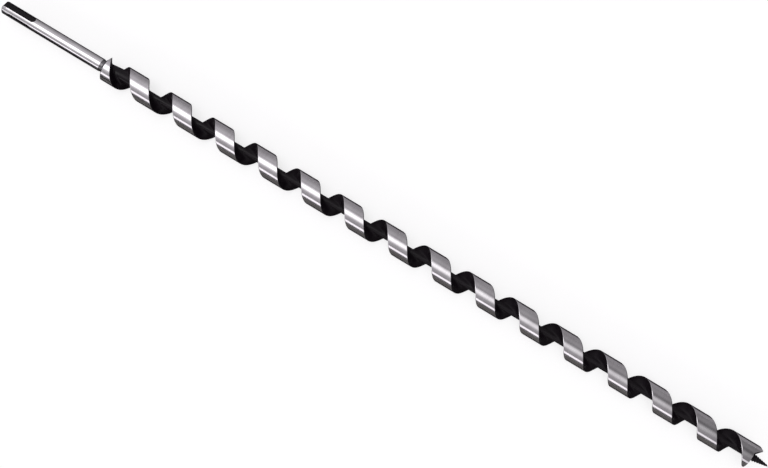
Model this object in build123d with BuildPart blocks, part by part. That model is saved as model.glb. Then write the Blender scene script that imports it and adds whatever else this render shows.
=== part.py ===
from build123d import *
import os
from math import asin, cos, degrees, radians, sin, sqrt, tan

# A single-spiral wood auger on a slotted hammer-drill shank, turned, fluted and ground
# from one bar. It lies along +X, from the centre of the shank's end face at the origin to
# the point of the lead screw, and +Z is up. Angles about the axis start at +Y and grow
# towards +Z, the way that the right-hand spiral climbs.

# Shank
shank_diameter = 10
shank_length = 84.7
end_chamfer = 0.9
relief_width = 2.2
relief_depth = 0.4
shoulder_length = 2.8

# Open driving grooves, one on each side, cut in from the end face
drive_groove_width = 4.8
drive_groove_length = 26.9
drive_groove_depth = 1.8
drive_groove_angle = 57

# Closed locking grooves, one on each side, a quarter turn from the driving grooves
lock_ball_diameter = 7
lock_groove_depth = 0.95
lock_groove_length = 20
lock_groove_start = 5.5

# Spiral
body_diameter = 19
core_diameter = 4.6
spiral_pitch = 36.35
land_width = 16.6
root_chamfer = 0.9
flute_lead_in = 6.4

# Run-out of the flute into the shoulder: what its near wall and floor have lost at angle 0,
# and how much wider its near root has grown there
run_out_full_angle = 240
run_out_first_angle = -150
run_out_steps = 13
run_out_wall_shift = 4
run_out_wall_lean = 2.7
run_out_near_rise = 2.4
run_out_far_rise = 3.7
run_out_root_growth = 1.4

# Head
lip_distance = 630.7
lip_relief_angle = 7
lead_screw_diameter = 6.3
lead_screw_length = 14.3
lead_screw_point_diameter = 0.7
lead_screw_root_length = 12
spur_height = 4.6
spur_heel_height = 0.6
spur_base_thickness = 3
spur_tip_thickness = 0.5
spur_tip_behind_lip = 146
spur_front_length = 4.75
flute_exit_behind_lip = 215

# How far the cutting tools' shapes reach past the body's surface
tool_overrun = 1.5

# Worked out from the sizes above
full_turn = 360
half_turn = full_turn / 2
quarter_turn = full_turn / 4
shank_radius = shank_diameter / 2
body_radius = body_diameter / 2
core_radius = core_diameter / 2
shoulder_start = shank_length + relief_width
body_start = shoulder_start + shoulder_length
flute_width = spiral_pitch - land_width
mouth_radius = body_radius + tool_overrun
near_wall_at_zero = body_start - flute_lead_in
lip_angle = (lip_distance - near_wall_at_zero - flute_width) / spiral_pitch * full_turn
flute_exit_angle = lip_angle + full_turn - flute_exit_behind_lip
relief_foot = lip_distance - mouth_radius * tan(radians(lip_relief_angle))
spur_tip = lip_distance + spur_height
spur_angle = lip_angle - spur_tip_behind_lip
sides = 2
drive_groove_straight = drive_groove_length - drive_groove_width / 2
lock_ball_radius = lock_ball_diameter / 2
lock_ball_height = shank_radius - lock_groove_depth + lock_ball_radius
lock_groove_reach = sqrt(lock_ball_radius**2 - (lock_ball_radius - lock_groove_depth) ** 2)
lock_ball_first = lock_groove_start + lock_groove_reach
lock_ball_last = lock_groove_start + lock_groove_length - lock_groove_reach


def near_wall(angle):
    """Station of the flute's wall on the shank's side, where it meets the body's surface."""
    return near_wall_at_zero + spiral_pitch * angle / full_turn


def axial_plane(angle):
    """Plane through the axis: its X runs along the bit and its Y points outward at the angle."""
    outward = radians(angle)
    return Plane(origin=(0, 0, 0), x_dir=(1, 0, 0), z_dir=(0, -sin(outward), cos(outward)))


def tangent_plane(angle, distance):
    """Plane that faces outward at the angle, at a distance from the axis, with its X along the bit."""
    outward = radians(angle)
    facing = (0, cos(outward), sin(outward))
    return Plane(origin=(0, distance * facing[1], distance * facing[2]), x_dir=(1, 0, 0), z_dir=facing)


def flute_section(angle, lost):
    """Section of the flute at the angle, less what is lost: walls, eased roots, floor and open mouth."""
    mouth_start = near_wall(angle) + run_out_wall_shift * lost
    floor_start = mouth_start + run_out_wall_lean * lost
    floor_end = near_wall(angle) + flute_width
    near_floor = core_radius + run_out_near_rise * lost
    far_floor = core_radius + run_out_far_rise * lost
    near_root = root_chamfer + run_out_root_growth * lost
    with BuildSketch(axial_plane(angle)) as section:
        with BuildLine():
            Polyline(
                (mouth_start, mouth_radius),
                (floor_start, near_floor + near_root),
                (floor_start + near_root, near_floor),
                (floor_end - root_chamfer, far_floor),
                (floor_end, far_floor + root_chamfer),
                (floor_end, mouth_radius),
                close=True,
            )
        make_face()
    return section.sketch


# The flute from its full depth to the head
flute_path = Helix(
    pitch=spiral_pitch,
    height=near_wall(flute_exit_angle) - near_wall(run_out_full_angle),
    radius=body_radius,
    center=(near_wall(run_out_full_angle), 0, 0),
    direction=(1, 0, 0),
).rotate(Axis.X, run_out_full_angle - quarter_turn)

with BuildPart() as flute:
    sweep(flute_section(run_out_full_angle, 0), path=flute_path, is_frenet=True)

# The same flute as it grows shallower and narrower towards the shoulder
run_out_sections = []
for step in range(run_out_steps + 1):
    angle = run_out_first_angle + (run_out_full_angle - run_out_first_angle) * step / run_out_steps
    run_out_sections.append(flute_section(angle, (run_out_full_angle - angle) / run_out_full_angle))

with BuildPart() as flute_run_out:
    loft(run_out_sections)

# The scoring spur: a thin tooth on the rim that rises past the lip, steep in front and low behind
spur_front_sweep = degrees(asin(spur_front_length / body_radius))
spur_back_sweep = flute_exit_behind_lip - spur_tip_behind_lip + spur_front_sweep

with BuildPart() as spur:
    with BuildSketch(axial_plane(spur_angle - spur_back_sweep)):
        with BuildLine():
            Polyline(
                (relief_foot, body_radius - spur_base_thickness),
                (lip_distance, body_radius - spur_base_thickness),
                (spur_tip, body_radius - spur_tip_thickness),
                (spur_tip, mouth_radius),
                (relief_foot, mouth_radius),
                close=True,
            )
        make_face()
    revolve(axis=Axis.X, revolution_arc=spur_back_sweep + spur_front_sweep)
    with BuildSketch(tangent_plane(spur_angle, 0)):
        with BuildLine():
            Polyline(
                (relief_foot, mouth_radius),
                (relief_foot, -spur_front_length),
                (spur_tip, 0),
                (lip_distance + spur_heel_height, body_radius),
                (lip_distance + spur_heel_height, mouth_radius),
                close=True,
            )
        make_face()
    extrude(amount=body_diameter, mode=Mode.INTERSECT)

# What the grinder takes off the head: all beyond the lip and its relief, but not the spur
with BuildPart() as head_cut:
    with BuildSketch(axial_plane(lip_angle - quarter_turn)):
        with BuildLine():
            Polyline(
                (lip_distance, 0),
                (relief_foot, mouth_radius),
                (spur_tip + spur_height, mouth_radius),
                (spur_tip + spur_height, -mouth_radius),
                (lip_distance, -mouth_radius),
                close=True,
            )
        make_face()
    extrude(amount=mouth_radius, both=True)
    add(spur.part, mode=Mode.SUBTRACT)

with BuildPart() as auger_bit:
    # Turned blank: chamfered shank, relief groove, conical shoulder and body, with its seam away
    # from the flute's end
    with BuildSketch(axial_plane(flute_exit_angle + quarter_turn)):
        with BuildLine():
            Polyline(
                (0, 0),
                (0, shank_radius - end_chamfer),
                (end_chamfer, shank_radius),
                (shank_length, shank_radius),
                (shank_length, shank_radius - relief_depth),
                (shoulder_start, shank_radius - relief_depth),
                (shoulder_start, shank_radius),
                (body_start, body_radius),
                (spur_tip, body_radius),
                (spur_tip, 0),
                close=True,
            )
        make_face()
    revolve(axis=Axis.X)

    # Flute
    add(flute.part, mode=Mode.SUBTRACT)
    add(flute_run_out.part, mode=Mode.SUBTRACT)

    # Lip, relief and spur
    add(head_cut.part, mode=Mode.SUBTRACT)

    # Lead screw's cone, swelling out of the core
    with BuildSketch(Plane.XY):
        with BuildLine():
            Polyline(
                (lip_distance - lead_screw_root_length, 0),
                (lip_distance, lead_screw_diameter / 2),
                (lip_distance + lead_screw_length, lead_screw_point_diameter / 2),
                (lip_distance + lead_screw_length, 0),
                close=True,
            )
        make_face()
    revolve(axis=Axis.X)

    # Open driving grooves
    for side in range(sides):
        angle = drive_groove_angle + half_turn * side
        with BuildSketch(tangent_plane(angle, shank_radius - drive_groove_depth)):
            with Locations((drive_groove_straight / 2, 0)):
                Rectangle(drive_groove_straight, drive_groove_width)
            with Locations((drive_groove_straight, 0)):
                Circle(drive_groove_width / 2)
        extrude(amount=shank_radius, mode=Mode.SUBTRACT)

    # Closed locking grooves, the track of a ball cutter
    for side in range(sides):
        angle = drive_groove_angle + quarter_turn + half_turn * side
        with BuildSketch(axial_plane(angle)):
            with BuildLine():
                CenterArc((lock_ball_first, lock_ball_height), lock_ball_radius, half_turn, quarter_turn)
                Line(
                    (lock_ball_first, lock_ball_height - lock_ball_radius),
                    (lock_ball_last, lock_ball_height - lock_ball_radius),
                )
                CenterArc((lock_ball_last, lock_ball_height), lock_ball_radius, -quarter_turn, quarter_turn)
                Line(
                    (lock_ball_last + lock_ball_radius, lock_ball_height),
                    (lock_ball_first - lock_ball_radius, lock_ball_height),
                )
            make_face()
        revolve(axis=Axis(tangent_plane(angle, lock_ball_height).origin, (1, 0, 0)), mode=Mode.SUBTRACT)

auger_bit.part.label = "auger_bit"

os.makedirs("parts", exist_ok=True)
export_step(auger_bit.part, "parts/auger_bit.step")
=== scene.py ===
import math
import bpy
import bmesh
from mathutils import Matrix, Vector


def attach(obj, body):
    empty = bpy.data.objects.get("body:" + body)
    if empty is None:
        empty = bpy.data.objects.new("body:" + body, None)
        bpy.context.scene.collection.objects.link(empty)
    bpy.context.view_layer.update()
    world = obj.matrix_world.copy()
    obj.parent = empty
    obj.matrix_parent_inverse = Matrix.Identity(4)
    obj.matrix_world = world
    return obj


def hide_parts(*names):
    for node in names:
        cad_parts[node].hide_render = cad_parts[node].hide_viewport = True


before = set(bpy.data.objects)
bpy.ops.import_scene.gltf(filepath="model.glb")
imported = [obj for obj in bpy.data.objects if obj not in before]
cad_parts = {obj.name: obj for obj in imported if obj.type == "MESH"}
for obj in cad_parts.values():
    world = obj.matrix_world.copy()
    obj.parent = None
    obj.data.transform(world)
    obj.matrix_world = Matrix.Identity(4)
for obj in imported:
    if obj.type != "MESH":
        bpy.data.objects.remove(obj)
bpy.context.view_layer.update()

# Sizes of the bit in millimetres, as the solid has them
SHANK_RADIUS = 5.0
SHANK_LENGTH = 84.7
END_CHAMFER = 0.9
RING_RADIUS = 4.6
SHOULDER_START = 86.9
BODY_START = 89.7
BODY_RADIUS = 9.5
CORE_RADIUS = 2.3
PITCH = 36.35
LAND_WIDTH = 16.6
FLUTE_WIDTH = PITCH - LAND_WIDTH
WALL_AT_ZERO = BODY_START - 6.4
TOOL_RADIUS = 11.0
CONE_SLOPE = (BODY_RADIUS - SHANK_RADIUS) / (BODY_START - SHOULDER_START)

RUN_OUT_FULL_ANGLE = 240.0
RUN_OUT_FIRST_ANGLE = -150.0
RUN_OUT_WALL_SHIFT = 4.0
RUN_OUT_WALL_LEAN = 2.7
RUN_OUT_NEAR_RISE = 2.4
RUN_OUT_FAR_RISE = 3.7

LIP = 630.7
LIP_RELIEF = math.tan(math.radians(7.0))
LIP_ANGLE = (LIP - WALL_AT_ZERO - FLUTE_WIDTH) / PITCH * 360.0
RELIEF_FOOT = LIP - TOOL_RADIUS * LIP_RELIEF
FLUTE_EXIT_ANGLE = LIP_ANGLE + 145.0
SPUR_ANGLE = LIP_ANGLE - 146.0
SPUR_FRONT_ANGLE = SPUR_ANGLE + 30.0
SPUR_TIP = LIP + 4.6
SPUR_HEEL = LIP + 0.6
SPUR_FRONT_LENGTH = 4.75
SPUR_BASE_RADIUS = 6.5
SPUR_TIP_RADIUS = 9.0

SCREW_RADIUS = 3.15
SCREW_LENGTH = 14.3
SCREW_ROOT_LENGTH = 12.0

GROOVE_ANGLE = 57.0
GROOVE_LENGTH = 26.9
GROOVE_HALF_WIDTH = 2.4
GROOVE_STRAIGHT = GROOVE_LENGTH - GROOVE_HALF_WIDTH
GROOVE_FLOOR = SHANK_RADIUS - 1.8
TRACK_BALL_RADIUS = 3.5
TRACK_BALL_HEIGHT = SHANK_RADIUS - 0.95 + TRACK_BALL_RADIUS
TRACK_FIRST = 7.9
TRACK_LAST = 23.1

# The flute's rounded roots, which the solid has as chamfers
ROOT_RADIUS = 1.5
RUN_OUT_ROOT_GROWTH = 1.5

# The eased edges of the lands: how far each runs down the wall and along the land
EDGE = 0.14
FAR_EDGE = 0.3
NEAR_EDGE = 0.55

# The lead screw's thread: its crests, and how much of the crest's radius its depth takes
SCREW_CREST = 3.6
SCREW_POINT_CREST = 0.65
SCREW_PITCH = 1.8
THREAD_DEPTH = 0.2

# Where the sections have points: shares of a stretch, distances from the axis, and counts
NEAR_WALL_STEPS = (0.35, 0.7)
FLOOR_STEPS = (0.25, 0.5, 0.75)
ROOT_COUNT = 7
FULL_ROOT = CORE_RADIUS + ROOT_RADIUS
FAR_WALL_RADII = (5.0, SPUR_BASE_RADIUS, 7.5, 8.4)
CONE_STEPS = (0.2, 0.4, 0.6, 0.8, 1.0)
TO_EDGE_STEPS = (1 / 3, 2 / 3, 1.0)
LAND_STEPS = (0.014, 0.25, 0.5, 0.75, 0.986, 1.0)
LAND_COUNT = 2 + len(LAND_STEPS)
OPEN_FACE_RADII = (FULL_ROOT, 2.53, CORE_RADIUS, 1.27, 0.0)
END_FACE_RADII = (SPUR_BASE_RADIUS, 5.0) + OPEN_FACE_RADII
CORE_POINTS = 3
ROW_STEP = 2.5
ROWS_PER_TURN = 144

MM = 0.001

# Lengths too small to count: seams are merged within the first, in metres, and sections compared
# within the others, in millimetres
SEAM = 1e-6
HAIR = 1e-6
TINY = 1e-9


def turned(angle, station, radius):
    """Point of the bit in metres: angle about its axis from +Y towards +Z, station along it."""
    a = math.radians(angle)
    return Vector((station, radius * math.cos(a), radius * math.sin(a))) * MM


# Node helpers for the finishes and the light

def new_material(name):
    """Material of the name, with its node tree and its shader."""
    material = bpy.data.materials.new(name)
    material.use_nodes = True
    nt = material.node_tree
    return material, nt, nt.nodes["Principled BSDF"]


def bare_material(name):
    """Material of the name without a shader, with its node tree and its output."""
    material = bpy.data.materials.new(name)
    material.use_nodes = True
    nt = material.node_tree
    nt.nodes.clear()
    return material, nt, add(nt, "ShaderNodeOutputMaterial")


def add(nt, kind, **settings):
    """New node of a kind with its settings."""
    node = nt.nodes.new(kind)
    for key, value in settings.items():
        setattr(node, key, value)
    return node


def maths(nt, op, a, b=None):
    """Result of a sum or other operation on numbers or sockets."""
    node = add(nt, "ShaderNodeMath", operation=op)
    for i, value in enumerate((a, b)):
        if isinstance(value, (int, float)):
            node.inputs[i].default_value = value
        elif value is not None:
            nt.links.new(value, node.inputs[i])
    return node.outputs[0]


def piece_place(nt):
    """The piece's own coordinates."""
    return add(nt, "ShaderNodeTexCoord").outputs["Object"]


def split(nt, vector):
    """Outputs X, Y and Z of a vector."""
    node = add(nt, "ShaderNodeSeparateXYZ")
    nt.links.new(vector, node.inputs[0])
    return node.outputs


def noise(nt, vector, scale, detail=3.0, rough=0.55):
    """Cloudy value from 0 to 1, finer with more scale."""
    node = add(nt, "ShaderNodeTexNoise")
    node.inputs["Scale"].default_value = scale
    node.inputs["Detail"].default_value = detail
    node.inputs["Roughness"].default_value = rough
    nt.links.new(vector, node.inputs["Vector"])
    return node.outputs["Fac"]


def ramp(nt, fac, stops):
    """Colour between stops, each a place from 0 to 1 and a colour."""
    node = add(nt, "ShaderNodeValToRGB")
    elements = node.color_ramp.elements
    while len(elements) < len(stops):
        elements.new(0.5)
    for i, (place, colour) in enumerate(stops):
        elements[i].position = place
        elements[i].color = (colour[0], colour[1], colour[2], 1.0)
    nt.links.new(fac, node.inputs[0])
    return node.outputs[0]


def spread(nt, fac, low, high, to_low, to_high):
    """Number carried from one range to another and held at its ends."""
    node = add(nt, "ShaderNodeMapRange")
    for i, value in enumerate((low, high, to_low, to_high)):
        node.inputs[i + 1].default_value = value
    nt.links.new(fac, node.inputs[0])
    return node.outputs[0]


def stretched(nt, place, scale):
    """Coordinates scaled apart in each direction, for marks that run one way."""
    node = add(nt, "ShaderNodeMapping")
    node.inputs["Scale"].default_value = scale
    nt.links.new(place, node.inputs["Vector"])
    return node.outputs[0]


def vectors(nt, op, a, b):
    """Sum or product of two vectors or colours."""
    node = add(nt, "ShaderNodeVectorMath", operation=op)
    nt.links.new(a, node.inputs[0])
    nt.links.new(b, node.inputs[1])
    return node.outputs[0]


def dimmed(nt, colour, share):
    """Colour scaled by a share."""
    node = add(nt, "ShaderNodeVectorMath", operation="SCALE")
    nt.links.new(colour, node.inputs[0])
    nt.links.new(share, node.inputs["Scale"])
    return node.outputs[0]


def bump(nt, bsdf, height, distance, strength):
    """Relief too small for the mesh, from a height, on a shader's normal."""
    node = add(nt, "ShaderNodeBump")
    node.inputs["Distance"].default_value = distance
    node.inputs["Strength"].default_value = strength
    nt.links.new(height, node.inputs["Height"])
    nt.links.new(node.outputs[0], bsdf.inputs["Normal"])


# Finishes

WHEEL_MARKS = (5200.0, 60.0, 60.0)


def ground_steel():
    """Lands, shoulder and lip: ground bright, with fine rings from the wheel."""
    material, nt, bsdf = new_material("ground_steel")
    place = piece_place(nt)
    rings = noise(nt, stretched(nt, place, WHEEL_MARKS), 1.0, 4.0, 0.7)
    streaks = noise(nt, stretched(nt, place, (900.0, 45.0, 45.0)), 1.0, 3.0, 0.6)
    stains = noise(nt, place, 90.0)
    mixed = maths(nt, "ADD", maths(nt, "MULTIPLY", streaks, 0.35), maths(nt, "MULTIPLY", stains, 0.65))
    colour = ramp(nt, mixed, [
        (0.32, (0.555, 0.535, 0.55)),
        (0.50, (0.62, 0.605, 0.62)),
        (0.68, (0.67, 0.66, 0.67))])
    nt.links.new(colour, bsdf.inputs["Base Color"])
    bsdf.inputs["Metallic"].default_value = 1.0
    uneven = maths(nt, "ADD", maths(nt, "MULTIPLY", rings, 0.5), maths(nt, "MULTIPLY", stains, 0.5))
    nt.links.new(spread(nt, uneven, 0.35, 0.65, 0.11, 0.18), bsdf.inputs["Roughness"])
    bump(nt, bsdf, rings, 0.00001, 0.15)
    return material


def polished_steel():
    """Shank: turned and polished, with faint turning marks, and darker and rougher unevenly near its end."""
    material, nt, bsdf = new_material("polished_steel")
    place = piece_place(nt)
    rings = noise(nt, stretched(nt, place, (7000.0, 30.0, 30.0)), 1.0, 3.0, 0.6)
    stains = noise(nt, place, 140.0)
    end_patch_noise = noise(nt, stretched(nt, place, (140.0, 900.0, 900.0)), 1.0, 3.0, 0.6)
    # Darker by a tenth to a fifth and rougher, unevenly, over the first 24 to 29 mm from the end
    held = spread(nt, split(nt, place)["X"], 0.024, 0.029, 1.0, 0.0)
    end_patches = maths(nt, "MULTIPLY", held, spread(nt, end_patch_noise, 0.3, 0.6, 0.5, 1.0))
    bright = ramp(nt, stains, [
        (0.35, (0.62, 0.61, 0.62)),
        (0.65, (0.72, 0.71, 0.72))])
    darker_at_end = dimmed(nt, bright, maths(nt, "SUBTRACT", 1.0, maths(nt, "MULTIPLY", end_patches, 0.2)))
    nt.links.new(darker_at_end, bsdf.inputs["Base Color"])
    bsdf.inputs["Metallic"].default_value = 1.0
    polish = spread(nt, stains, 0.3, 0.7, 0.09, 0.14)
    nt.links.new(maths(nt, "ADD", polish, maths(nt, "MULTIPLY", end_patches, 0.12)), bsdf.inputs["Roughness"])
    bump(nt, bsdf, rings, 0.000006, 0.25)
    return material


def dull_steel():
    """Turned ring before the shoulder: dark and dull, with marks from the tool."""
    material, nt, bsdf = new_material("dull_steel")
    rings = noise(nt, stretched(nt, piece_place(nt), WHEEL_MARKS), 1.0, 4.0, 0.7)
    colour = ramp(nt, rings, [
        (0.35, (0.13, 0.125, 0.13)),
        (0.65, (0.24, 0.235, 0.24))])
    nt.links.new(colour, bsdf.inputs["Base Color"])
    bsdf.inputs["Metallic"].default_value = 1.0
    nt.links.new(spread(nt, rings, 0.3, 0.7, 0.25, 0.38), bsdf.inputs["Roughness"])
    bump(nt, bsdf, rings, 0.00002, 0.4)
    return material


def black_coat():
    """Flute, grooves and lead screw: satin black coat over milled steel, glossier towards the shank."""
    material, nt, bsdf = new_material("black_coat")
    place = piece_place(nt)
    grain = noise(nt, place, 2600.0, 3.0, 0.6)
    clouds = noise(nt, place, 160.0, 3.0, 0.6)
    colour = ramp(nt, clouds, [
        (0.30, (0.0048, 0.0030, 0.0048)),
        (0.55, (0.0078, 0.0052, 0.0078)),
        (0.75, (0.0140, 0.0105, 0.0135))])
    nt.links.new(colour, bsdf.inputs["Base Color"])
    bsdf.inputs["Specular IOR Level"].default_value = 0.2
    gloss = spread(nt, split(nt, place)["X"], 0.10, 0.28, 0.17, 0.0)
    satin = spread(nt, clouds, 0.3, 0.7, 0.36, 0.52)
    nt.links.new(maths(nt, "SUBTRACT", satin, gloss), bsdf.inputs["Roughness"])
    bump(nt, bsdf, maths(nt, "ADD", maths(nt, "MULTIPLY", grain, 0.4), clouds), 0.00005, 0.5)
    return material


STEEL = ground_steel()
POLISHED = polished_steel()
DULL = dull_steel()
BLACK = black_coat()

# Places of the finishes on the spiral and on the shank
LAND = 0
COAT = 1
POLISH = 0
RING = 2


# Sections of the spiral: pairs of station along the bit and radius

def blank_radius(station):
    """Radius of the turned blank: conical shoulder, then body."""
    if station >= BODY_START:
        return BODY_RADIUS
    return SHANK_RADIUS + (station - SHOULDER_START) * CONE_SLOPE


def near_wall(angle):
    """Station of the flute's wall on the shank's side, at the body's surface."""
    return WALL_AT_ZERO + PITCH * angle / 360.0


def unit(a, b):
    """Direction from one point of a section to another."""
    length = math.hypot(b[0] - a[0], b[1] - a[1])
    return (b[0] - a[0]) / length, (b[1] - a[1]) / length


def along(a, b, share):
    """Point between two points of a section."""
    return (a[0] + (b[0] - a[0]) * share, a[1] + (b[1] - a[1]) * share)


def arc_between(before, corner, after, radius):
    """Points of the fillet that eases a corner of a section."""
    b = unit(corner, before)
    a = unit(corner, after)
    half = math.acos(b[0] * a[0] + b[1] * a[1]) / 2
    reach = radius / math.tan(half)
    middle = unit((0.0, 0.0), (b[0] + a[0], b[1] + a[1]))
    away = radius / math.sin(half)
    centre = (corner[0] + middle[0] * away, corner[1] + middle[1] * away)
    spoke = (corner[0] + b[0] * reach - centre[0], corner[1] + b[1] * reach - centre[1])
    end = (corner[0] + a[0] * reach - centre[0], corner[1] + a[1] * reach - centre[1])
    side = 1 if spoke[0] * end[1] - spoke[1] * end[0] > 0 else -1
    points = []
    for i in range(ROOT_COUNT):
        t = side * (math.pi - 2 * half) * i / (ROOT_COUNT - 1)
        points.append((centre[0] + spoke[0] * math.cos(t) - spoke[1] * math.sin(t),
                       centre[1] + spoke[0] * math.sin(t) + spoke[1] * math.cos(t)))
    return points


def flute_curve(angle):
    """Section of the flute at an angle: near wall, root, floor, root and far wall."""
    lost = max(0.0, (RUN_OUT_FULL_ANGLE - angle) / RUN_OUT_FULL_ANGLE)
    mouth = near_wall(angle) + RUN_OUT_WALL_SHIFT * lost
    foot = mouth + RUN_OUT_WALL_LEAN * lost
    end = near_wall(angle) + FLUTE_WIDTH
    near = (foot, CORE_RADIUS + RUN_OUT_NEAR_RISE * lost)
    far = (end, CORE_RADIUS + RUN_OUT_FAR_RISE * lost)
    top = (mouth, TOOL_RADIUS)
    near_root = arc_between(top, near, far, ROOT_RADIUS + RUN_OUT_ROOT_GROWTH * lost)
    far_root = arc_between(near, far, (end, TOOL_RADIUS), ROOT_RADIUS)
    rim = along(top, near, (TOOL_RADIUS - BODY_RADIUS) / (TOOL_RADIUS - near[1]))
    points = [rim] + [along(rim, near_root[0], f) for f in NEAR_WALL_STEPS] + near_root
    points += [along(near_root[-1], far_root[0], f) for f in FLOOR_STEPS] + far_root
    low = far_root[-1][1]
    for r in FAR_WALL_RADII:
        points.append((end, low + (BODY_RADIUS - low) * (r - FULL_ROOT) / (BODY_RADIUS - FULL_ROOT)))
    points.append((end, max(BODY_RADIUS, low)))
    return points


class Curve:
    """Polyline with a way to ask for the point at a distance along it."""

    def __init__(self, points):
        self.points = points
        self.marks = [0.0]
        for a, b in zip(points, points[1:]):
            self.marks.append(self.marks[-1] + math.hypot(b[0] - a[0], b[1] - a[1]))
        self.length = self.marks[-1]

    def at(self, t):
        """Point at a distance along the polyline, held at its ends."""
        t = min(max(t, 0.0), self.length)
        for i in range(len(self.marks) - 1):
            if t <= self.marks[i + 1]:
                run = self.marks[i + 1] - self.marks[i]
                return along(self.points[i], self.points[i + 1], (t - self.marks[i]) / run if run else 0.0)
        return self.points[-1]


def inside_blank(point):
    """Whether a point of a section lies below the blank's surface."""
    return blank_radius(point[0]) - point[1] > HAIR


def halved(curve, inner, outer):
    """Distance along the curve where it crosses the blank, between one inside and one outside."""
    rounds = 30
    for _ in range(rounds):
        middle = (inner + outer) / 2
        if inside_blank(curve.at(middle)):
            inner = middle
        else:
            outer = middle
    return inner


def crossings(curve):
    """Where the flute's section enters the blank and where it leaves it."""
    steps = 500
    hop = curve.length / steps
    tried = [curve.length * i / steps for i in range(steps + 1)]
    inside = [t for t in tried if inside_blank(curve.at(t))]
    if not inside:
        return None
    enter = halved(curve, inside[0], max(0.0, inside[0] - hop))
    leave = halved(curve, inside[-1], min(curve.length, inside[-1] + hop))
    return enter, leave


def on_blank(station, distance):
    """Point of the blank's surface a distance along it from a station, never past the cone's edge."""
    if station < BODY_START:
        moved = station + distance / math.hypot(1.0, CONE_SLOPE)
    else:
        moved = max(BODY_START, station + distance)
    return (moved, blank_radius(moved))


def flute_row(angle):
    """Columns of the flute at an angle, with the eased edges on the blank at each end."""
    curve = Curve(flute_curve(angle))
    found = crossings(curve)
    if found is None:
        return None
    enter, leave = found
    edge = min(EDGE, (leave - enter) / 4)
    share = edge / EDGE
    return {
        "before": on_blank(curve.at(enter)[0], -NEAR_EDGE * share),
        "columns": [curve.at(min(max(t, enter + edge), leave - edge)) for t in curve.marks],
        "after": on_blank(curve.at(leave)[0], FAR_EDGE * share),
    }


def land_columns(start, end):
    """Columns over the blank's surface between two of its points, with the shoulder's edge kept."""
    station = min(max(BODY_START, start[0]), max(end[0], start[0]))
    edge = (station, blank_radius(station))
    columns = [along(start, edge, f) for f in TO_EDGE_STEPS]
    return columns + [along(edge, end, f) for f in LAND_STEPS]


class Skin:
    """Rows of points that become one mesh of quads, with a finish for each strip of columns."""

    def __init__(self):
        self.bm = bmesh.new()

    def strip(self, rows, finishes):
        """rows: (angle, [(station, radius), ...]); finishes: one index for each column gap."""
        made = []
        for angle, points in rows:
            made.append([self.bm.verts.new(turned(angle, s, r)) for s, r in points])
        for low, high in zip(made, made[1:]):
            for j in range(len(low) - 1):
                face = self.bm.faces.new((low[j], high[j], high[j + 1], low[j + 1]))
                face.material_index = finishes[j]
        return made

    def finish(self, name, materials):
        """Object of the skin, with its seams merged and its empty faces gone."""
        sliver = 1e-8
        bmesh.ops.remove_doubles(self.bm, verts=self.bm.verts, dist=SEAM)
        bmesh.ops.dissolve_degenerate(self.bm, edges=self.bm.edges, dist=sliver)
        loose = [v for v in self.bm.verts if not v.link_faces]
        bmesh.ops.delete(self.bm, geom=loose, context="VERTS")
        return placed(self.bm, name, materials)


def all_round(profile, count):
    """Rows of a turned shape: its profile at even angles, once round."""
    return [(360.0 * i / count, profile) for i in range(count + 1)]


def placed(bm, name, materials):
    """Object in the scene from a mesh in the making."""
    mesh = bpy.data.meshes.new(name)
    bm.to_mesh(mesh)
    bm.free()
    for material in materials:
        mesh.materials.append(material)
    obj = bpy.data.objects.new(name, mesh)
    bpy.context.scene.collection.objects.link(obj)
    return obj


def smooth(obj, sharp_from):
    """Smooth shading, with edges sharper than an angle in degrees kept crisp."""
    obj.data.shade_smooth()
    obj.data.set_sharp_from_angle(angle=math.radians(sharp_from))


def baked(obj):
    """Plain mesh of an object with its modifiers applied."""
    bpy.context.view_layer.update()
    depsgraph = bpy.context.evaluated_depsgraph_get()
    return bpy.data.meshes.new_from_object(obj.evaluated_get(depsgraph), depsgraph=depsgraph)


# Geometry Nodes: a section swept along a screw

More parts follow.
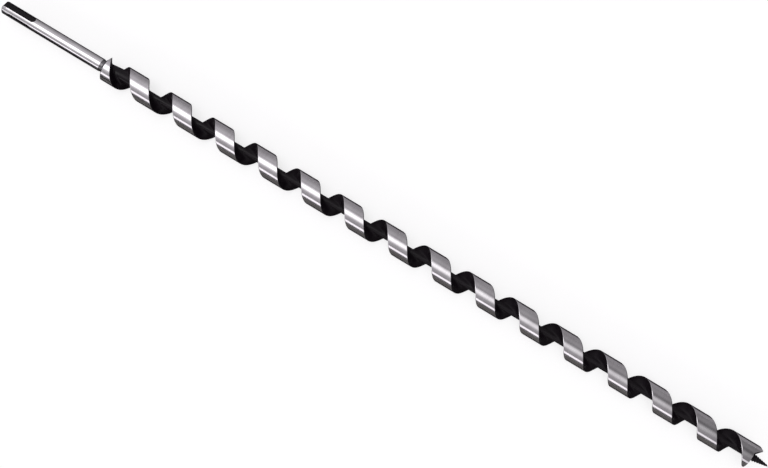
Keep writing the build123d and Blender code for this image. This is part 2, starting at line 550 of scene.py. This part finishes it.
def screw_sweep_tree():
    """Node tree that sweeps the section it is given, drawn as station and radius, along a screw."""
    tree = bpy.data.node_groups.new("screw_sweep", "GeometryNodeTree")
    face = tree.interface
    face.new_socket("Section", in_out="INPUT", socket_type="NodeSocketGeometry")
    for name, kind in (
        ("Pitch", "NodeSocketFloat"), ("First Angle", "NodeSocketFloat"), ("Rows", "NodeSocketInt"),
        ("Rows Per Turn", "NodeSocketInt"), ("Section Points", "NodeSocketInt"),
        ("Taper Start", "NodeSocketFloat"), ("Taper End", "NodeSocketFloat"),
        ("Radius At Start", "NodeSocketFloat"), ("Radius At End", "NodeSocketFloat"),
        ("First Coated Strip", "NodeSocketInt"), ("Land Finish", "NodeSocketMaterial"),
        ("Flute Finish", "NodeSocketMaterial"),
    ):
        face.new_socket(name, in_out="INPUT", socket_type=kind)
    face.new_socket("Geometry", in_out="OUTPUT", socket_type="NodeSocketGeometry")
    nodes, links = tree.nodes, tree.links
    given = nodes.new("NodeGroupInput")
    out = nodes.new("NodeGroupOutput")

    def put(socket, value):
        """Number on a socket, or a link to it."""
        if isinstance(value, (int, float)):
            socket.default_value = value
        else:
            links.new(value, socket)

    def calc(op, a, b=None):
        """Result of a sum or other operation."""
        node = nodes.new("ShaderNodeMath")
        node.operation = op
        put(node.inputs[0], a)
        if b is not None:
            put(node.inputs[1], b)
        return node.outputs[0]

    def whole(op, a, b):
        """Result of an operation on whole numbers."""
        node = nodes.new("FunctionNodeIntegerMath")
        node.operation = op
        put(node.inputs[0], a)
        put(node.inputs[1], b)
        return node.outputs[0]

    # A grid of rows and section points, each point with its row and its column
    grid = nodes.new("GeometryNodeMeshGrid")
    put(grid.inputs["Vertices X"], given.outputs["Rows"])
    put(grid.inputs["Vertices Y"], given.outputs["Section Points"])
    index = nodes.new("GeometryNodeInputIndex").outputs[0]
    row = whole("DIVIDE_FLOOR", index, given.outputs["Section Points"])
    column = whole("MODULO", index, given.outputs["Section Points"])

    # The section's own point for each column
    sample = nodes.new("GeometryNodeSampleIndex")
    sample.data_type = "FLOAT_VECTOR"
    sample.domain = "POINT"
    put(sample.inputs["Geometry"], given.outputs["Section"])
    value = [s for s in sample.inputs if s.name == "Value" and s.enabled][0]
    put(value, nodes.new("GeometryNodeInputPosition").outputs[0])
    put(sample.inputs["Index"], column)
    drawn = nodes.new("ShaderNodeSeparateXYZ")
    put(drawn.inputs[0], [s for s in sample.outputs if s.enabled][0])

    # Its place on the screw, held between the taper's ends and closed onto the axis past them
    turns = calc("DIVIDE", row, given.outputs["Rows Per Turn"])
    angle = calc("ADD", given.outputs["First Angle"], calc("MULTIPLY", turns, 2 * math.pi))
    free = calc("ADD", drawn.outputs["X"], calc("MULTIPLY", turns, given.outputs["Pitch"]))
    station = calc("MINIMUM", calc("MAXIMUM", free, given.outputs["Taper Start"]), given.outputs["Taper End"])
    reach = nodes.new("ShaderNodeMapRange")
    put(reach.inputs["Value"], station)
    put(reach.inputs["From Min"], given.outputs["Taper Start"])
    put(reach.inputs["From Max"], given.outputs["Taper End"])
    put(reach.inputs["To Min"], given.outputs["Radius At Start"])
    put(reach.inputs["To Max"], given.outputs["Radius At End"])
    kept = calc("LESS_THAN", calc("ABSOLUTE", calc("SUBTRACT", free, station)), TINY)
    radius = calc("MULTIPLY", calc("MULTIPLY", drawn.outputs["Y"], reach.outputs[0]), kept)
    joined = nodes.new("ShaderNodeCombineXYZ")
    put(joined.inputs[0], station)
    put(joined.inputs[1], calc("MULTIPLY", radius, calc("COSINE", angle)))
    put(joined.inputs[2], calc("MULTIPLY", radius, calc("SINE", angle)))
    move = nodes.new("GeometryNodeSetPosition")
    put(move.inputs["Geometry"], grid.outputs["Mesh"])
    put(move.inputs["Position"], joined.outputs[0])

    # Land finish on the first strips of each row, flute finish on the rest
    strips = whole("SUBTRACT", given.outputs["Section Points"], 1)
    coated = nodes.new("FunctionNodeCompare")
    coated.data_type = "INT"
    coated.operation = "GREATER_EQUAL"
    whole_numbers = [s for s in coated.inputs if s.type == "INT"]
    put(whole_numbers[0], whole("MODULO", index, strips))
    put(whole_numbers[1], given.outputs["First Coated Strip"])
    real = nodes.new("GeometryNodeRealizeInstances")
    first = nodes.new("GeometryNodeSetMaterial")
    second = nodes.new("GeometryNodeSetMaterial")
    put(real.inputs[0], move.outputs[0])
    put(first.inputs["Geometry"], real.outputs[0])
    put(first.inputs["Material"], given.outputs["Land Finish"])
    put(second.inputs["Geometry"], first.outputs[0])
    put(second.inputs["Material"], given.outputs["Flute Finish"])
    put(second.inputs["Selection"], coated.outputs[0])
    put(out.inputs[0], second.outputs[0])
    return tree


SWEEP = screw_sweep_tree()


def swept(name, section, values):
    """Mesh of a section swept along a screw by the node tree, in metres."""
    line = bpy.data.meshes.new(name + "_section")
    links = [(i, i + 1) for i in range(len(section) - 1)]
    line.from_pydata([(s * MM, r * MM, 0.0) for s, r in section], links, [])
    obj = bpy.data.objects.new(name + "_section", line)
    bpy.context.scene.collection.objects.link(obj)
    mod = obj.modifiers.new("screw_sweep", "NODES")
    mod.node_group = SWEEP
    sockets = {s.name: s.identifier for s in SWEEP.interface.items_tree if s.in_out == "INPUT"}
    mod[sockets["Section Points"]] = len(section)
    for key, value in values.items():
        mod[sockets[key]] = value
    mesh = baked(obj)
    obj.modifiers.remove(mod)
    bpy.data.objects.remove(obj)

    # The tree's own order of finishes becomes land first, flute second
    finishes = [values["Land Finish"], values["Flute Finish"]]
    order = [finishes.index(m) if m in finishes else 0 for m in mesh.materials]
    kept = [order[p.material_index] for p in mesh.polygons]
    mesh.materials.clear()
    for material in finishes:
        mesh.materials.append(material)
    mesh.polygons.foreach_set("material_index", kept)
    return mesh


# Ground end face and spur

def end_plane(angle, radius):
    """Station of the ground end face, level in front of the lip and falling away behind it."""
    rise = radius * math.cos(math.radians(angle - (LIP_ANGLE - 90.0)))
    return LIP - LIP_RELIEF * max(0.0, rise)


def spur_top(angle, radius):
    """Station of the spur's edge: steep in front of its tip and low behind."""
    across = radius * math.sin(math.radians(SPUR_ANGLE + 360.0 - angle))
    if across < 0:
        return SPUR_TIP + (SPUR_TIP - RELIEF_FOOT) * across / SPUR_FRONT_LENGTH
    return SPUR_TIP + (SPUR_HEEL - SPUR_TIP) * across / BODY_RADIUS


def rim_station(angle):
    """Station of the rim at an angle: the end face, or the spur where there is one."""
    low = end_plane(angle, BODY_RADIUS)
    if angle > SPUR_FRONT_ANGLE + 360.0:
        return low
    return max(low, spur_top(angle, BODY_RADIUS))


def spur_inner_edge(angle):
    """Inner edge of the spur's top at an angle, or None where there is no spur."""
    rounds = 60
    least_height = 0.02
    if angle > SPUR_FRONT_ANGLE + 360.0:
        return None
    lean = (SPUR_TIP_RADIUS - SPUR_BASE_RADIUS) / (SPUR_TIP - LIP)
    radius = BODY_RADIUS
    for _ in range(rounds):
        radius = SPUR_BASE_RADIUS + max(0.0, spur_top(angle, radius) - LIP) * lean
    station = spur_top(angle, radius)
    if station <= end_plane(angle, radius) + least_height:
        return None
    return (station, radius)


# Spiral body, from shoulder to lip

def run_out_rows(angles):
    """Flute rows from its first touch of the shoulder to its full section, with the numbers of both."""
    rows = {}
    start = None
    for i, angle in enumerate(angles):
        row = flute_row(angle)
        if row is not None:
            if start is None:
                start = i - 1
            rows[i] = row
        if angle >= RUN_OUT_FULL_ANGLE:
            full = i
            break
    first = rows[start + 1]
    station = (first["before"][0] + first["after"][0]) / 2
    touch = (station, blank_radius(station))
    rows[start] = {"before": touch, "columns": [touch] * len(first["columns"]), "after": touch}
    return rows, start, full


def shoulder_rows(angles, rows, start):
    """From the shoulder's small end up the cone to the flute's first edge, once round."""
    made = []
    foot = (SHOULDER_START, SHANK_RADIUS)
    for k in range(start, start + ROWS_PER_TURN + 1):
        row = rows[k]
        station = min(rows[start]["before"][0], row["before"][0])
        guide = (station, blank_radius(station))
        points = [(SHOULDER_START, 0.0), foot] + [along(foot, guide, f) for f in CONE_STEPS]
        points += land_columns(guide, row["before"]) + [row["columns"][0]]
        made.append((angles[k], points))
    return made


def first_land_rows(angles, rows, start, full):
    """Lands behind the run-out, from the flute of the turn before to the flute's next edge."""
    made = []
    for k in range(start + ROWS_PER_TURN, full + 1):
        earlier = rows[k - ROWS_PER_TURN]
        row = rows[k]
        points = [earlier["columns"][-1], earlier["after"]]
        points += land_columns(earlier["after"], row["before"]) + [row["columns"][0]]
        made.append((angles[k], points))
    return made


def turn_section(row, station):
    """Section of one turn, from the far edge of the flute before: land, then flute."""
    back = (-LAND_WIDTH, BODY_RADIUS - EDGE)
    land_start = (-LAND_WIDTH + FAR_EDGE, BODY_RADIUS)
    land_end = (-NEAR_EDGE, BODY_RADIUS)
    flute = [(s - station, r) for s, r in row["columns"]]
    return [back, land_start] + [along(land_start, land_end, f) for f in LAND_STEPS] + flute


def meets_end_face(angle, here, after):
    """Whether the flute's section reaches the ground end face between two of its points."""
    below_land = BODY_RADIUS - EDGE - 0.1
    reached = after[0] >= end_plane(angle, after[1]) - HAIR
    return reached and after[0] > here[0] - TINY and after[1] < below_land


def cut_section(angle, points):
    """Section up to the ground end face: the points past it gather where it is cut."""
    kept = []
    cut = None
    for here, after in zip(points, points[1:] + [None]):
        if cut is not None:
            kept.append(cut)
            continue
        kept.append(here)
        if after is not None and meets_end_face(angle, here, after):
            run = after[0] - here[0]
            share = min(1.0, (end_plane(angle, here[1]) - here[0]) / run) if run > TINY else 0.0
            radius = along(here, after, share)[1]
            cut = (end_plane(angle, radius), radius)
    return kept


def open_head_rows(section):
    """Past the lip: the flute is open to the front and the end face cuts its section."""
    made = []
    for i in range(int(round((FLUTE_EXIT_ANGLE - LIP_ANGLE) / ROW_STEP)) + 1):
        angle = LIP_ANGLE + ROW_STEP * i
        points = cut_section(angle, [(s + near_wall(angle), r) for s, r in section])
        inner = points[-1][1]
        for r in OPEN_FACE_RADII:
            radius = min(inner, r)
            points.append((end_plane(angle, radius), radius))
        made.append((angle, points))
    return made


def closed_head_rows(section):
    """Behind the flute's end: only the land, the spur on its rim and the ground end face."""
    made = []
    spur_foot = (LIP, SPUR_BASE_RADIUS)
    rim_radii = (BODY_RADIUS - EDGE,) + tuple(reversed(FAR_WALL_RADII[1:]))
    last = int(round((LIP_ANGLE + 360.0 - FLUTE_EXIT_ANGLE) / ROW_STEP))
    for i in range(last + 1):
        angle = FLUTE_EXIT_ANGLE + ROW_STEP * i
        base = near_wall(angle)
        rim = rim_station(angle)
        tooth = spur_inner_edge(angle)
        edge = 0.0 if tooth or i == last else EDGE
        top = (rim - edge, BODY_RADIUS)
        points = [(min(base - LAND_WIDTH, end_plane(angle, BODY_RADIUS)), BODY_RADIUS - EDGE)]
        for s, r in section[1:LAND_COUNT]:
            points.append((s + base, r) if s + base < top[0] else top)
        points.append(top)
        if tooth:
            points += [(rim, BODY_RADIUS), tooth, along(tooth, spur_foot, 0.5), spur_foot]
        else:
            points += [(end_plane(angle, r), r) for r in rim_radii]
        points += [(end_plane(angle, r), r) for r in END_FACE_RADII]
        made.append((angle, points))
    return made


def add_end_wall(skin, low, high):
    """The flute's end wall in the plane of the axis, between open head and closed, down to the core."""
    ring = [high[LAND_COUNT - 1]] + low[LAND_COUNT:-len(OPEN_FACE_RADII)]
    ring += reversed(high[LAND_COUNT:-CORE_POINTS])
    outline = []
    for v in ring:
        if not outline or (v.co - outline[-1].co).length > SEAM:
            outline.append(v)
    if (outline[0].co - outline[-1].co).length < SEAM:
        outline.pop()
    skin.bm.faces.new(outline).material_index = COAT


def spiral_body():
    """Shoulder, lands, flute and ground head as one closed skin."""
    skin = Skin()
    back_steps = int(math.floor((LIP_ANGLE - RUN_OUT_FIRST_ANGLE) / ROW_STEP))
    angles = [LIP_ANGLE - ROW_STEP * i for i in range(back_steps, -1, -1)]

    rows, start, full = run_out_rows(angles)
    run_out = [(angles[k], rows[k]["columns"]) for k in range(start, full + 1)]
    skin.strip(run_out, [COAT] * (len(run_out[0][1]) - 1))
    for part in (shoulder_rows(angles, rows, start), first_land_rows(angles, rows, start, full)):
        skin.strip(part, [LAND] * (len(part[0][1]) - 2) + [COAT])

    # Turns between run-out and lip, by the node tree and without a taper
    station = near_wall(angles[full])
    section = turn_section(rows[full], station)
    skin.bm.from_mesh(swept("spiral", [(s + station, r) for s, r in section], {
        "Pitch": PITCH * MM,
        "First Angle": math.radians(angles[full]),
        "Rows": len(angles) - full,
        "Rows Per Turn": ROWS_PER_TURN,
        "Taper Start": 0.0,
        "Taper End": 10.0,
        "Radius At Start": 1.0,
        "Radius At End": 1.0,
        "First Coated Strip": LAND_COUNT - 1,
        "Land Finish": STEEL,
        "Flute Finish": BLACK,
    }))

    # Head
    coat = [COAT] * (len(section) - LAND_COUNT)
    open_head = skin.strip(open_head_rows(section),
                           [LAND] * (LAND_COUNT - 1) + coat + [LAND] * len(OPEN_FACE_RADII))
    closed_rows = closed_head_rows(section)
    closed_head = skin.strip(closed_rows, [LAND] * (len(closed_rows[0][1]) - 1))
    add_end_wall(skin, open_head[-1], closed_head[0])
    skin.bm.normal_update()
    return skin.finish("spiral_body", [STEEL, BLACK])


body = spiral_body()
smooth(body, 32)
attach(body, "root")
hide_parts("auger_bit")


# Lead screw

def lead_screw():
    """Tapered thread, by the same node tree, with a section that has radius 1 at the crest."""
    # Shares of the pitch and of the thread's depth
    shape = (
        (0.0, 1.0), (0.12, 0.95), (0.27, 0.35), (0.38, 0.04), (0.46, 0.0), (0.62, 0.32), (0.86, 0.93),
        (1.0, 1.0))
    hidden_turns = 2
    shown_turns = 9
    rows_per_turn = 72
    begin = LIP - hidden_turns * SCREW_PITCH
    section = [(begin + share * SCREW_PITCH, (1.0 - THREAD_DEPTH * sunk) / MM) for share, sunk in shape]
    skin = Skin()
    skin.bm.from_mesh(swept("lead_screw", section, {
        "Pitch": SCREW_PITCH * MM,
        "First Angle": 0.0,
        "Rows": rows_per_turn * (hidden_turns + shown_turns) + 1,
        "Rows Per Turn": rows_per_turn,
        "Taper Start": (LIP - 0.4) * MM,
        "Taper End": (LIP + SCREW_LENGTH) * MM,
        "Radius At Start": SCREW_CREST * MM,
        "Radius At End": SCREW_POINT_CREST * MM,
        "First Coated Strip": 0,
        "Land Finish": BLACK,
        "Flute Finish": BLACK,
    }))
    obj = skin.finish("lead_screw", [BLACK])
    smooth(obj, 50)
    return obj


screw = lead_screw()
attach(screw, "root")
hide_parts("auger_bit")


def screw_root():
    """Cone that swells out of the core into the lead screw, a little slimmer than the solid's own."""
    slimmer = 0.98
    top = LIP + 0.25
    profile = [(LIP - SCREW_ROOT_LENGTH, 0.0)]
    for f in (0.25, 0.5, 0.75, 0.95):
        profile.append((LIP - SCREW_ROOT_LENGTH * (1 - f), SCREW_RADIUS * f * slimmer))
    profile += [(LIP - 0.05, SCREW_RADIUS * 0.97), (top, SCREW_RADIUS * 0.86), (top, 0.0)]
    skin = Skin()
    skin.strip(all_round(profile, 72), [0] * (len(profile) - 1))
    obj = skin.finish("lead_screw_root", [BLACK])
    smooth(obj, 40)
    return obj


root = screw_root()
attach(root, "root")
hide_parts("auger_bit")


# Shank

def groove_cutter(angle):
    """Cutter of an open driving groove: a long slot with a round end and a flat floor."""
    end_steps = 24
    ease = 0.5
    overrun = 3.0
    mouth = 9.0
    outline = [(-overrun, -GROOVE_HALF_WIDTH)]
    for i in range(end_steps + 1):
        t = -math.pi / 2 + math.pi * i / end_steps
        station = GROOVE_STRAIGHT + GROOVE_HALF_WIDTH * math.cos(t)
        outline.append((station, GROOVE_HALF_WIDTH * math.sin(t)))
    outline.append((-overrun, GROOVE_HALF_WIDTH))

    bm = bmesh.new()
    rings = []
    for inset, height in (
        (ease, GROOVE_FLOOR),
        (ease * 0.3, GROOVE_FLOOR + ease * 0.3),
        (0.0, GROOVE_FLOOR + ease),
        (0.0, mouth),
    ):
        share = (GROOVE_HALF_WIDTH - inset) / GROOVE_HALF_WIDTH
        ring = []
        for station, across in outline:
            centre = min(station, GROOVE_STRAIGHT)
            ring.append(bm.verts.new((centre + (station - centre) * share, across * share, height)))
        rings.append(ring)
    close_rings(bm, rings)
    bm.faces.new(list(reversed(rings[0])))
    bm.faces.new(rings[-1])
    return shank_cutter(bm, angle, "driving_groove_cutter")


def track_cutter(angle):
    """Cutter of a closed locking groove: the path of a ball along the shank."""
    steps = 20
    around = 64
    pole_size = 1e-4
    profile = []
    for centre, first in ((TRACK_FIRST, math.pi), (TRACK_LAST, math.pi / 2)):
        for i in range(steps + 1):
            t = first - math.pi / 2 * i / steps
            profile.append((centre + TRACK_BALL_RADIUS * math.cos(t), TRACK_BALL_RADIUS * math.sin(t)))

    bm = bmesh.new()
    rings = []
    for station, radius in profile:
        ring = []
        for j in range(around):
            t = 2 * math.pi * j / around
            height = TRACK_BALL_HEIGHT + radius * math.sin(t)
            ring.append(bm.verts.new((station, radius * math.cos(t), height)))
        rings.append(ring)
    close_rings(bm, rings)
    bmesh.ops.remove_doubles(bm, verts=bm.verts, dist=pole_size)
    return shank_cutter(bm, angle, "locking_groove_cutter")


def close_rings(bm, rings):
    """Faces between rings of points, each with the next."""
    for low, high in zip(rings, rings[1:]):
        count = len(low)
        for i in range(count):
            bm.faces.new((low[i], low[(i + 1) % count], high[(i + 1) % count], high[i]))


def shank_cutter(bm, angle, name):
    """Cutter drawn as station, across and outward, turned to its angle on the shank."""
    bmesh.ops.recalc_face_normals(bm, faces=bm.faces)
    a = math.radians(angle)
    across = Vector((0, math.sin(a), -math.cos(a)))
    outward = Vector((0, math.cos(a), math.sin(a)))
    for v in bm.verts:
        v.co = (Vector((v.co.x, 0, 0)) + across * v.co.y + outward * v.co.z) * MM
    for f in bm.faces:
        f.material_index = COAT
    return placed(bm, name, [POLISHED, BLACK])


def shank_profile():
    """Station and radius from the end face to inside the shoulder, with eased edges."""
    ease = 0.12
    chamfer_foot = SHANK_RADIUS - END_CHAMFER
    profile = [
        (0.0, 0.0), (0.0, 2.0), (0.0, chamfer_foot - ease), (ease * 0.7, chamfer_foot + ease * 0.3),
        (END_CHAMFER - ease, SHANK_RADIUS - ease * 0.7), (END_CHAMFER + ease, SHANK_RADIUS)]
    for station in (4, 8, 12, 16, 20, 24, 28, 34, 42, 50, 58, 66, 74, 80):
        profile.append((float(station), SHANK_RADIUS))
    inside = SHOULDER_START + 0.6
    corner = 0.08
    return profile + [
        (SHANK_LENGTH - ease, SHANK_RADIUS), (SHANK_LENGTH, SHANK_RADIUS - ease),
        (SHANK_LENGTH, RING_RADIUS + corner), (SHANK_LENGTH + corner, RING_RADIUS),
        (SHANK_LENGTH + 1.2, RING_RADIUS), (inside, RING_RADIUS), (inside, 0.0)]


def shank():
    """Shank with its end chamfer, relief ring and four grooves."""
    profile = shank_profile()
    ring_strips = 4
    skin = Skin()
    finishes = [POLISH] * (len(profile) - 1 - ring_strips) + [RING] * ring_strips
    skin.strip(all_round(profile, ROWS_PER_TURN), finishes)
    obj = skin.finish("shank", [POLISHED, BLACK, DULL])
    for side in (0, 180):
        for cutter in (groove_cutter(GROOVE_ANGLE + side), track_cutter(GROOVE_ANGLE + 90 + side)):
            mod = obj.modifiers.new("cut", "BOOLEAN")
            mod.operation = "DIFFERENCE"
            mod.solver = "EXACT"
            mod.object = cutter
            mesh = baked(obj)
            obj.modifiers.remove(mod)
            obj.data = mesh
            bpy.data.objects.remove(cutter)
    smooth(obj, 30)
    return obj


grip = shank()
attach(grip, "root")
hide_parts("auger_bit")


# Studio

TABLE = -BODY_RADIUS * MM


def flat_card(name, x_from, x_to, y_from, y_to, z, material):
    """Level card with a finish."""
    mesh = bpy.data.meshes.new(name)
    corners = [(x_from, y_from, z), (x_to, y_from, z), (x_to, y_to, z), (x_from, y_to, z)]
    mesh.from_pydata(corners, [], [(0, 1, 2, 3)])
    mesh.materials.append(material)
    obj = bpy.data.objects.new(name, mesh)
    bpy.context.scene.collection.objects.link(obj)
    return obj


def pale_floor():
    """White paper under the bit, bright by a glow of its own besides the light that falls on it."""
    half = 6.0
    gap = 0.00002
    shade = 0.42
    strength = 0.72
    material, nt, out = bare_material("floor_paper")
    paper = add(nt, "ShaderNodeBsdfDiffuse")
    paper.inputs["Color"].default_value = (shade, shade, shade, 1)
    glow = add(nt, "ShaderNodeEmission")
    path = add(nt, "ShaderNodeLightPath")
    mirrored = maths(nt, "MAXIMUM", path.outputs["Is Camera Ray"], path.outputs["Is Glossy Ray"])
    seen = maths(nt, "MAXIMUM", mirrored, path.outputs["Is Transmission Ray"])
    nt.links.new(maths(nt, "MULTIPLY", seen, strength), glow.inputs["Strength"])
    both = add(nt, "ShaderNodeAddShader")
    nt.links.new(paper.outputs[0], both.inputs[0])
    nt.links.new(glow.outputs[0], both.inputs[1])
    nt.links.new(both.outputs[0], out.inputs["Surface"])
    obj = flat_card("floor", -half, half, -half, half, TABLE - gap, material)


def painted_reflection(name, x_from, x_to, y_from, y_to, level):
    """Card on the table along the bit that glows at a grey or dark level and that only its polish sees: a
    painted reflection.
    """
    gap = 0.0001
    material, nt, out = bare_material(name)
    glow = add(nt, "ShaderNodeEmission")
    glow.inputs["Color"].default_value = (level[0], level[1], level[2], 1)
    nt.links.new(glow.outputs[0], out.inputs["Surface"])
    obj = flat_card(name, x_from, x_to, y_from, y_to, TABLE + gap, material)
    obj.visible_camera = False
    obj.visible_diffuse = False
    obj.visible_shadow = False
    obj.visible_transmission = False


def bands(nt, place, tint, levels):
    """Light levels round the bit's direction: pairs of angle from overhead towards -Y, and level."""
    return ramp(nt, place, [(degrees / 360.0 + 0.5, [level * t for t in tint]) for degrees, level in levels])


def studio_world():
    """Soft boxes and grey panels round the table, as bands about the bit's direction."""
    world = bpy.data.worlds.new("studio")
    bpy.context.scene.world = world
    world.use_nodes = True
    nt = world.node_tree
    nt.nodes.clear()
    out = add(nt, "ShaderNodeOutputWorld")
    direction = split(nt, add(nt, "ShaderNodeTexCoord").outputs["Generated"])
    along_bit = direction["X"]
    turn = maths(nt, "ARCTAN2", maths(nt, "MULTIPLY", direction["Y"], -1.0), direction["Z"])
    place = maths(nt, "ADD", maths(nt, "DIVIDE", turn, 2 * math.pi), 0.5)

    # Panels as the shank's end sees them, and as the head does
    at_shank = bands(nt, place, (1.0, 0.965, 1.01), [
        (-180, 0.12), (-132, 0.12), (-122, 0.42), (-85, 0.42), (-64, 0.58), (-50, 0.70), (-33, 0.68),
        (-20, 0.60), (10, 0.60), (22, 0.70), (35, 0.56), (46, 0.42), (54.5, 0.42), (57.5, 1.8), (70.5, 1.8),
        (76, 0.17), (180, 0.12)])
    at_head = bands(nt, place, (1.0, 0.965, 1.005), [
        (-180, 0.12), (-132, 0.12), (-122, 0.32), (-85, 0.31), (-54, 0.34), (-42, 0.29), (-34, 0.20),
        (-20, 0.19), (17, 0.24), (26, 0.35), (35, 0.44), (46, 0.38), (53, 0.38), (56, 1.75), (69, 1.75),
        (75, 0.17), (180, 0.12)])
    panels = add(nt, "ShaderNodeMix", data_type="RGBA")
    nt.links.new(spread(nt, along_bit, -0.35, 0.35, 0.0, 1.0), panels.inputs["Factor"])
    colours = [s for s in panels.inputs if s.type == "RGBA"]
    nt.links.new(at_shank, colours[0])
    nt.links.new(at_head, colours[1])
    mixed = [s for s in panels.outputs if s.type == "RGBA"][0]

    # Long soft box overhead, weaker and further over towards the head
    shift = spread(nt, along_bit, -0.04, 0.26, -5.0 / 360.0, 5.0 / 360.0)
    soft_box = bands(nt, maths(nt, "SUBTRACT", place, shift), (1.0, 0.985, 1.0), [
        (-180, 0.0), (-30, 0.0), (-22, 0.2), (-13, 0.75), (-5, 1.0), (5, 1.0), (13, 0.75), (22, 0.2),
        (30, 0.0), (180, 0.0)])
    falloff = (
        (-0.5, 0.1), (-0.45, 2.2), (-0.3, 2.1), (-0.15, 1.8), (0.0, 1.3), (0.1, 0.98), (0.2, 0.72),
        (0.3, 0.54), (0.35, 0.28))
    stops = [(x + 0.5, (level, level, level)) for x, level in falloff]
    power = ramp(nt, maths(nt, "ADD", along_bit, 0.5), stops)
    total = vectors(nt, "ADD", mixed, vectors(nt, "MULTIPLY", soft_box, power))
    light = dimmed(nt, total, spread(nt, along_bit, 0.29, 0.36, 1.0, 0.65))

    back = add(nt, "ShaderNodeBackground")
    nt.links.new(light, back.inputs["Color"])
    back.inputs["Strength"].default_value = 1.0
    white = add(nt, "ShaderNodeBackground")
    white.inputs["Strength"].default_value = 1.0
    white.inputs["Color"].default_value = (1, 1, 1, 1)
    path = add(nt, "ShaderNodeLightPath")
    mix = add(nt, "ShaderNodeMixShader")
    nt.links.new(path.outputs["Is Camera Ray"], mix.inputs[0])
    nt.links.new(back.outputs[0], mix.inputs[1])
    nt.links.new(white.outputs[0], mix.inputs[2])
    nt.links.new(mix.outputs[0], out.inputs["Surface"])


pale_floor()
# Painted reflections: cards that only the metal sees, near black right beside the bit and greyer further out
painted_reflection("black_painted_reflection", -0.6, 0.07, -2.0, -0.001, (0.02, 0.018, 0.02))
painted_reflection("near_dark_painted_reflection", 0.0701, 1.3, -0.026, -0.001, (0.055, 0.05, 0.055))
painted_reflection("dark_painted_reflection", 0.0701, 1.3, -2.0, -0.0261, (0.15, 0.142, 0.138))
painted_reflection("near_grey_painted_reflection", -0.6, 1.3, 0.001, 0.027, (0.045, 0.04, 0.045))
painted_reflection("grey_painted_reflection", -0.6, 1.3, 0.0271, 2.0, (0.36, 0.345, 0.365))
studio_world()


# Camera

PHOTO_WIDTH = 768.0
FOCAL_LENGTH = 981.18
SENSOR_WIDTH = 36.0


def photo_camera():
    """Camera above the bit, tilted a little along it and rolled as the photo shows it."""
    data = bpy.data.cameras.new("camera")
    obj = bpy.data.objects.new("camera", data)
    bpy.context.scene.collection.objects.link(obj)
    bpy.context.scene.camera = obj
    data.sensor_fit = "HORIZONTAL"
    data.sensor_width = SENSOR_WIDTH
    data.lens = FOCAL_LENGTH / PHOTO_WIDTH * SENSOR_WIDTH
    data.clip_start = 0.01
    data.clip_end = 50.0

    right = Vector((0.99917, 0.0, -0.04073))
    up = Vector((0.0, 1.0, 0.0))
    roll_cos, roll_sin = 0.8567, 0.5159
    x_axis = right * roll_cos + up * roll_sin
    y_axis = right * -roll_sin + up * roll_cos
    z_axis = x_axis.cross(y_axis)
    turn = Matrix((x_axis, y_axis, z_axis)).transposed()
    place = Vector((0.35525, 0.00075, 0.7102))
    obj.matrix_world = Matrix.Translation(place) @ turn.to_4x4()


photo_camera()
bpy.context.scene.view_settings.view_transform = "Standard"
